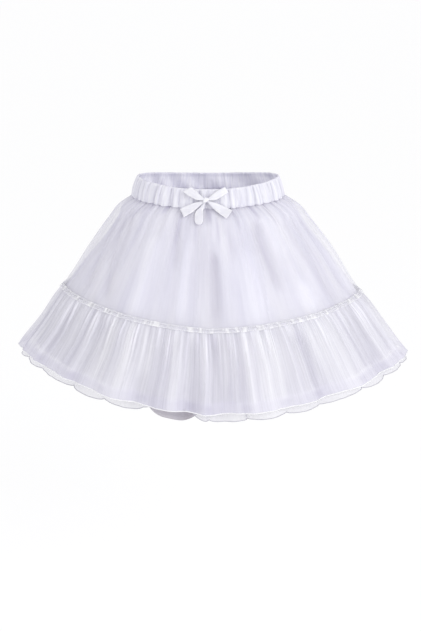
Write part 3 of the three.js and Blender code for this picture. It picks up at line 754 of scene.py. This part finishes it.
ruffle_tulle = tulle_finish("ruffle_tulle", veil=0.74, dark=(0.885, 0.875, 0.945),
    light=(0.95, 0.945, 0.98), streak_width=0.022, shade=0.25, lines=0.08)
for side, middle in SIDES:
    share, angle = hem_shares(middle, RUFFLE_GATHERS * 20 + 1)
    drop = (RUFFLE_TOP + (HEM - RUFFLE_TOP) * np.linspace(0, 1, 34))[:, None]
    phase = gather_phase(share, RUFFLE_GATHERS, middle)
    bunching = 0.35 + 0.65 * np.sin(7 * share + middle + 1.1) ** 2
    main = along_rows(RUFFLE_ROWS, "gather", drop) * gather_height(phase) * bunching
    fine_phase = 3 * phase + 0.5 * np.sin(1.7 * phase) + 0.12 * np.sin(0.06 * drop + phase)
    fine_depth = 1 + 0.4 * np.sin(2.3 * np.floor(fine_phase))
    fine = along_rows(RUFFLE_ROWS, "fine", drop) * fine_depth * np.sin(2 * np.pi * fine_phase)
    wave = along_rows(RUFFLE_ROWS, "wave", drop) * hem_wave(angle)
    end_hold = ease(np.minimum(share, 1 - share), 0, 0.07)
    folds = fold_push(angle, drop)
    points = ring_points(TULLE_RINGS, drop, angle, (main + fine) * end_hold + wave + folds)
    smooth = ring_points(TULLE_RINGS, drop, angle, wave + folds)
    doubled = laps(gather_phase(share, 21, middle + 2), 0.4, 0.05 * np.sin(drop / 31 + 7 * share))
    short = laps(gather_phase(share, 58, middle), 0.5) * bump(drop - TIER_SEAM, 16)
    fullness = gathered_fullness(points, smooth) + 0.28 * doubled + 0.6 * short
    # Painted shade on the ruffle: in its large folds, in the gathers' valleys near the tier seam, deeper
    # towards the hem and below the lining's hem, and in patches where the scallops meet; a little less of
    # it on its doubled laps.
    below_lining = ease(drop, 229, 236)
    fullness = fullness + 0.45 * below_lining
    gather_valley_shade = (0.5 - 0.5 * gather_height(phase)) ** 2 * bunching
    hollow = fold_hollow(folds) + gather_valley_shade * (0.6 * bump(drop - (TIER_SEAM + 2), 12) + 0.2) - 0.1 * doubled
    hollow = hollow + 0.2 * ease(drop, 200, 230) + 1.1 * below_lining
    patch_height = plateau(drop - SCALLOP_SHADE["drop"], SCALLOP_SHADE["reach"])
    for place in scallop_points()[1:-1]:
        patch = plateau(angle - middle - place, SCALLOP_SHADE["half_width"]) * patch_height
        hollow = hollow + SCALLOP_SHADE["shade"] * patch
    ruffle = cloth_piece(f"tulle_ruffle_{side}", points, RUFFLE_CUT["width"] * share,
        drop[:, 0] * MM, fullness=fullness, hollow=hollow)
    ruffle.data.materials.append(ruffle_tulle)
    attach(ruffle, "root")
    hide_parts(f"ruffle_{side}")
    bead = hem_bead(f"ruffle_hem_{side}", points[-1], RUFFLE_BEAD, RUFFLE_CUT["width"])
    bead.data.materials.append(rolled_white)

# ---------------------------------------------------------------------------------------------------
# The under ruffle is a second, slightly longer strip of tulle behind the ruffle, coloured darker than the
# others as painted shade. It is less full, so its hem hangs in broad scallops with its own rolled edge,
# coloured grey as painted shade, which shows as a fine grey line below the white one.
# ---------------------------------------------------------------------------------------------------
UNDER_TOP = 153.4
UNDER_HEM = 255.5
UNDER_ROWS = [dict(drop=UNDER_TOP, inset=2.6, wave=0, sag=0), dict(drop=198, inset=7.5, wave=2, sag=0.5),
    dict(drop=UNDER_HEM, inset=12.5, wave=3.6, sag=1.7)]
UNDER_HITCH = {"at": -11.6, "reach": 7.6, "rise": 12.5}
UNDER_CUT = {"width": 0.80, "height": 0.125}
UNDER_BEAD = 0.45

# The under hem's bead is coloured grey as painted shade.
rolled_hem_shaded = rolled_hem_finish(
    "rolled_hem_painted_shade", (0.42, 0.41, 0.47), (0.62, 0.61, 0.66), roughness=0.7, sheen=0.2
)[0]
# The under net is the same tulle coloured darker: painted shade for lying behind the ruffle.
under_tulle = tulle_finish("under_tulle", veil=0.6, dark=(0.72, 0.71, 0.77),
    light=(0.80, 0.795, 0.835), streak_width=0.02, shade=0.2)
for side, middle in SIDES:
    share, angle = hem_shares(middle, 601)
    drop = (UNDER_TOP + (UNDER_HEM - UNDER_TOP) * np.linspace(0, 1, 34))[:, None]
    which = np.interp(angle - middle, scallop_points(), np.arange(SCALLOPS["count"] + 1))
    scallop = np.floor(which)
    skewed = which - 0.06 * np.sin(2 * np.pi * which) * np.sin(1.7 * scallop + middle)
    scallops = 2 * np.abs(np.sin(np.pi * skewed)) ** 0.5 - 1
    scallops = scallops * (0.72 + 0.28 * np.sin(2.3 * scallop + 0.8))
    pleats = 0.3 * np.sin(2 * np.pi * (41 * share + 0.6 * np.sin(14 * share)))
    inset = along_rows(UNDER_ROWS, "inset", drop)
    folds = fold_push(angle, drop) - inset
    waves = along_rows(UNDER_ROWS, "wave", drop) * scallops
    hitch_up = UNDER_HITCH["rise"] * plateau(angle - UNDER_HITCH["at"], UNDER_HITCH["reach"])
    sag = along_rows(UNDER_ROWS, "sag", drop) * scallops - hitch_up * ease(drop, 198, UNDER_HEM)
    points = ring_points(TULLE_RINGS, drop, angle, folds + waves + pleats, sag)
    smooth = ring_points(TULLE_RINGS, drop, angle, folds)
    fullness = gathered_fullness(points, smooth)
    # Painted shade on the under net in its large folds.
    under = cloth_piece(f"tulle_under_ruffle_{side}", points, UNDER_CUT["width"] * share,
        drop[:, 0] * MM, fullness=fullness, hollow=fold_hollow(folds + inset))
    under.data.materials.append(under_tulle)
    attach(under, "root")
    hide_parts(f"under_ruffle_{side}")
    bead = hem_bead(f"under_hem_{side}", points[-1], UNDER_BEAD, UNDER_CUT["width"])
    bead.data.materials.append(rolled_hem_shaded)

# ---------------------------------------------------------------------------------------------------
# The tier tape is a narrow satin tape stitched flat over the seam between the tiers. The gathers under it
# pucker it a little, and a painted sheen lies on it in bright spots that follow the puckers.
# ---------------------------------------------------------------------------------------------------
TAPE_ROWS = [dict(drop=150.4, out=0.6), dict(drop=155.7, out=1.7)]
TAPE_CUT = {"width": 0.55, "height": 0.0058}
TAPE_WALL = 0.0004
TAPE_STITCH = {"step": 0.003, "length": 0.002, "width": 0.0002}

tape_satin, tree, shader, add = finish_named(
    "tape_satin", Roughness=0.42, Sheen_Weight=0.3, Specular_IOR_Level=0.5, Anisotropic=0.4
)
tape_puckers = clouds(add, 0.011, 0.02)
# A painted sheen: the tape's colour and how much of it shows rise together with the puckers, in bright
# spots.
tape_painted_sheen_tone = two_tones(add, tape_puckers, (0.90, 0.895, 0.945), (0.99, 0.99, 1.0), 0.35, 0.62)
tape_painted_sheen_spots = remap(add, tape_puckers, 0.5, 0.66, 0.22, 0.72)
tape_rim = add("ShaderNodeAttribute", attribute_name="rim").outputs["Fac"]
tape_cover = add("ShaderNodeMath", {0: tape_rim, 1: 0.48, 2: tape_painted_sheen_spots}, operation="MULTIPLY_ADD",
    use_clamp=True)
tree.links.new(tape_painted_sheen_tone, shader.inputs["Base Color"])
tree.links.new(tape_cover.outputs[0], shader.inputs["Alpha"])
tree.links.new(raised(add, tape_puckers, 0.25, 0.0006), shader.inputs["Normal"])

for side, middle in SIDES:
    share, angle = hem_shares(middle, RUFFLE_GATHERS * 12 + 1)
    down = np.linspace(0, 1, 7)[:, None]
    drop = TAPE_ROWS[0]["drop"] + (TAPE_ROWS[1]["drop"] - TAPE_ROWS[0]["drop"]) * down
    pucker = 0.3 * np.sin(2 * np.pi * (RUFFLE_GATHERS * share + 0.5 * np.sin(21 * share)))
    crown = 0.35 * np.sin(np.pi * down)
    out = along_rows(TAPE_ROWS, "out", drop) + fold_push(angle, drop) + crown + pucker
    points = ring_points(TULLE_RINGS, drop, angle, out)
    tape = cloth_piece(f"satin_tape_{side}", points, TAPE_CUT["width"] * share,
        (drop[:, 0] - TAPE_ROWS[0]["drop"]) * MM, rim=np.abs(2 * down - 1) ** 3)
    tape.data.materials.append(tape_satin)
    give_thickness(tape, TAPE_WALL, 0)
    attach(tape, "root")
    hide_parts(f"tier_tape_{side}")
    for edge, row in (("upper", 1), ("lower", 5)):
        line = points[row] * (1.0015, 1.0015, 1)
        run = stitch_run(f"tape_stitches_{edge}_{side}", line, **TAPE_STITCH)

# ---------------------------------------------------------------------------------------------------
# The bow is tied from satin ribbon 10 mm wide and tacked to the front of the waistband: two flattened
# loops, two short tails cut square, one short drop in the middle, and the knot wound over them.
# ---------------------------------------------------------------------------------------------------
KNOT = {"x": -2.4, "z": -2.2, "half_width": 3.6, "half_depth": 3.2, "half_height": 3.7}
BOW_CLEARANCE = 0.4
GATHER_RIDGE = 1.5
RIBBON_WALL = 0.0006
RIBBON_MAP_WIDTH = 0.011
KNOT_MAP = {"width": 0.009, "length": 0.025}
# Stations along each ribbon, from the knot outwards, across and up from the knot's middle: its upper
# and lower edges (ux, uz and lx, lz), how far each stands off the cloth behind (uo, lo), and how far
# the ribbon's middle stands proud (crown).
LEFT_LEAF = table("ux uz lx lz crown",
    (-4.1, 2.9, -4.3, -0.7, 0.8),
    (-8.8, 7.3, -11.5, 0.2, 1.0),
    (-13.2, 11.3, -20.8, 4.3, 0.6),
    (-18.4, 15.2, -28.8, 9.0, 0),
)
RIGHT_LEAF = table("ux uz lx lz crown",
    (4.1, 3.2, 4.3, -0.7, 0.8),
    (9.2, 7.6, 11.4, 0.0, 1.0),
    (16.0, 12.0, 19.4, 3.6, 0.6),
    (23.4, 15.3, 27.6, 8.5, 0),
)
LEFT_TAIL = table("ux uz uo lx lz lo",
    (-4.2, -1.6, 2.2, -3.3, -4.4, 2.2),
    (-14, -3.6, 1.6, -10.5, -10.2, 1.6),
    (-24, -7.4, 1.6, -19.0, -16.2, 1.2),
    (-33.6, -12.0, 3.6, -28.6, -20.9, 1.0),
)
RIGHT_TAIL = table("ux uz uo lx lz lo",
    (4.2, -1.6, 2.2, 3.3, -4.4, 2.2),
    (14, -4.4, 1.6, 9.6, -11.2, 1.6),
    (24.5, -9.2, 1.6, 18.0, -17.2, 1.2),
    (33.8, -13.6, 3.6, 26.2, -22.0, 1.0),
)
DROP = table("ux uz uo lx lz lo",
    (-0.6, -4.9, 2.2, -3.2, -5.2, 2.2),
    (-2.6, -8.8, 2.0, -7.2, -9.0, 2.0),
    (-3.6, -12.6, 1.8, -11.2, -12.6, 1.8),
    (-3.6, -17.0, 1.6, -14.2, -17.0, 1.6),
    (-3.9, -23.7, 1.3, -14.5, -23.7, 1.3),
    (-4.9, -26.8, 1.2, -13.3, -26.8, 1.2),
    (-6.9, -28.3, 1.2, -11.0, -28.3, 1.2),
)
STATION_COLUMNS = ("ux", "uz", "uo", "lx", "lz", "lo", "crown")
# The share of its first station's place and width that each ribbon keeps where it enters the knot.
ROOT_SHARE = 0.35
# How far each layer of a loop stands off the cloth behind, and how far its tip reaches past the leaf.
LOOP_OFF = {"back": 1.3, "tip": 2.7, "front": 4.1}
TIP_REACH = 1.03

ribbon_satin, tree, shader, add = finish_named(
    "ribbon_satin", Roughness=0.38, Sheen_Weight=0.35, Specular_IOR_Level=0.5, Anisotropic=0.5
)
ribs = threads(add, 0.004, 1, 0.4)
ribbon_tone = two_tones(add, clouds(add, 0.009, 0.006), (0.87, 0.865, 0.92), (0.97, 0.97, 0.985), 0.3, 0.65)
# The ribbon's colour turns towards a greyish lavender where painted shade is laid on it.
tree.links.new(in_hollows(add, ribbon_tone, (0.45, 0.44, 0.54), 0.3), shader.inputs["Base Color"])
tree.links.new(raised(add, ribs, 0.15, 0.0002), shader.inputs["Normal"])


def front_surface(x, z):
    """How far forward the outermost cloth of the front lies at one place, in millimetres."""
    on_band = z > -BAND_FOOT
    rings = BAND_RINGS if on_band else TULLE_RINGS
    width, depth, shift, corner = (
        along_rows(rings, column, -z) for column in ("half_width", "half_depth", "shift", "corner")
    )
    proud = (BAND_WALL if on_band else 1) / 2 + GATHER_RIDGE + BOW_CLEARANCE
    side = (x - shift) / (width + proud)
    return -(depth + proud) * (1 - side * side) ** (corner / 2)


def ribbon_piece(name, stations, columns=25, across=9):
    """A ribbon through its stations, smooth along its length and crowned across, and its length."""
    stations = np.array(stations, float)
    rows = [dict(zip(STATION_COLUMNS, station), drop=k) for k, station in enumerate(stations)]
    grid = np.empty((columns, across, 3))
    for i, place in enumerate(np.linspace(0, len(stations) - 1, columns)):
        upper_x, upper_z, upper_off, lower_x, lower_z, lower_off, crown = (
            float(along_rows(rows, column, np.array(place))) for column in STATION_COLUMNS
        )
        for j, t in enumerate(np.linspace(0, 1, across)):
            x = KNOT["x"] + (1 - t) * upper_x + t * lower_x
            z = KNOT["z"] + (1 - t) * upper_z + t * lower_z
            off = (1 - t) * upper_off + t * lower_off + crown * math.sin(math.pi * t)
            grid[i, j] = (x, front_surface(x, z) - off, z)
    steps = np.linalg.norm(np.diff(grid.mean(axis=1), axis=0), axis=1)
    along = np.concatenate([[0], np.cumsum(steps)])
    from_knot = np.minimum(along, along[-1] - along if stations[0, 2] == stations[-1, 2] else along)
    # Painted shade on each ribbon: darker across its middle than at its edges, which stand out as painted
    # highlight, and darker near the knot.
    width = np.linspace(-1, 1, across)[:, None]
    pleat = 0.5 + 0.5 * np.cos(2 * np.pi * (0.95 * width + 0.05))
    hollow = 0.75 * (1 - width**4) + bump(from_knot, 6) * (0.2 + 0.8 * pleat)
    piece = cloth_piece(name, grid.transpose(1, 0, 2) * MM, along * MM,
        RIBBON_MAP_WIDTH * np.linspace(0, 1, across), hollow=hollow)
    piece.data.materials.append(ribbon_satin)
    give_thickness(piece, RIBBON_WALL, 0)
    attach(piece, "root")
    return piece, float(along[-1]) * MM


for stations in (LEFT_LEAF, RIGHT_LEAF, LEFT_TAIL, RIGHT_TAIL, DROP):
    for place in ("ux", "uz", "lx", "lz"):
        stations[0][place] *= ROOT_SHARE
for side, leaf in (("left", LEFT_LEAF), ("right", RIGHT_LEAF)):
    rows = {layer: [(s["ux"], s["uz"], off, s["lx"], s["lz"], off, s["crown"] if layer == "front" else 0)
        for s in leaf] for layer, off in LOOP_OFF.items()}
    tip = [tuple(np.array(rows["tip"][-1]) * (TIP_REACH, TIP_REACH, 1, TIP_REACH, TIP_REACH, 1, 1))]
    loop, length = ribbon_piece(f"bow_loop_{side}_ribbon", rows["back"] + tip + rows["front"][::-1],
        columns=41)
    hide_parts(f"bow_loop_{side}")

for name, stations in (("tail_left", LEFT_TAIL), ("tail_right", RIGHT_TAIL), ("drop", DROP)):
    rows = [(s["ux"], s["uz"], s["uo"], s["lx"], s["lz"], s["lo"], 0.5) for s in stations]
    tail, length = ribbon_piece(f"bow_{name}_ribbon", rows)
    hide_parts(f"bow_{name}")

# The knot: a ribbon wound once round the middle of the bow, with soft creases down its front.
turn = np.linspace(0, 2 * np.pi, 33)[:-1, None]
across = np.linspace(-1, 1, 15)[None, :]
barrel = np.sqrt(np.clip(1 - 0.85 * across**4, 0, 1)) * (1 + 0.07 * np.cos(8 * across + 1))
knot_points = np.stack(np.broadcast_arrays(
    KNOT["x"] + KNOT["half_width"] * across + 0 * turn,
    front_surface(KNOT["x"], KNOT["z"]) - KNOT["half_depth"] * (1 + barrel * np.cos(turn)),
    KNOT["z"] + 0.8 * across + KNOT["half_height"] * barrel * (0.88 - 0.12 * across) * np.sin(turn),
), axis=-1) * MM
knot = cloth_piece("bow_knot_ribbon", knot_points, KNOT_MAP["width"] * np.linspace(0, 1, 15),
    KNOT_MAP["length"] * np.linspace(0, 1, 32), around=True)
knot.data.materials.append(ribbon_satin)
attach(knot, "root")
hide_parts("bow_knot")
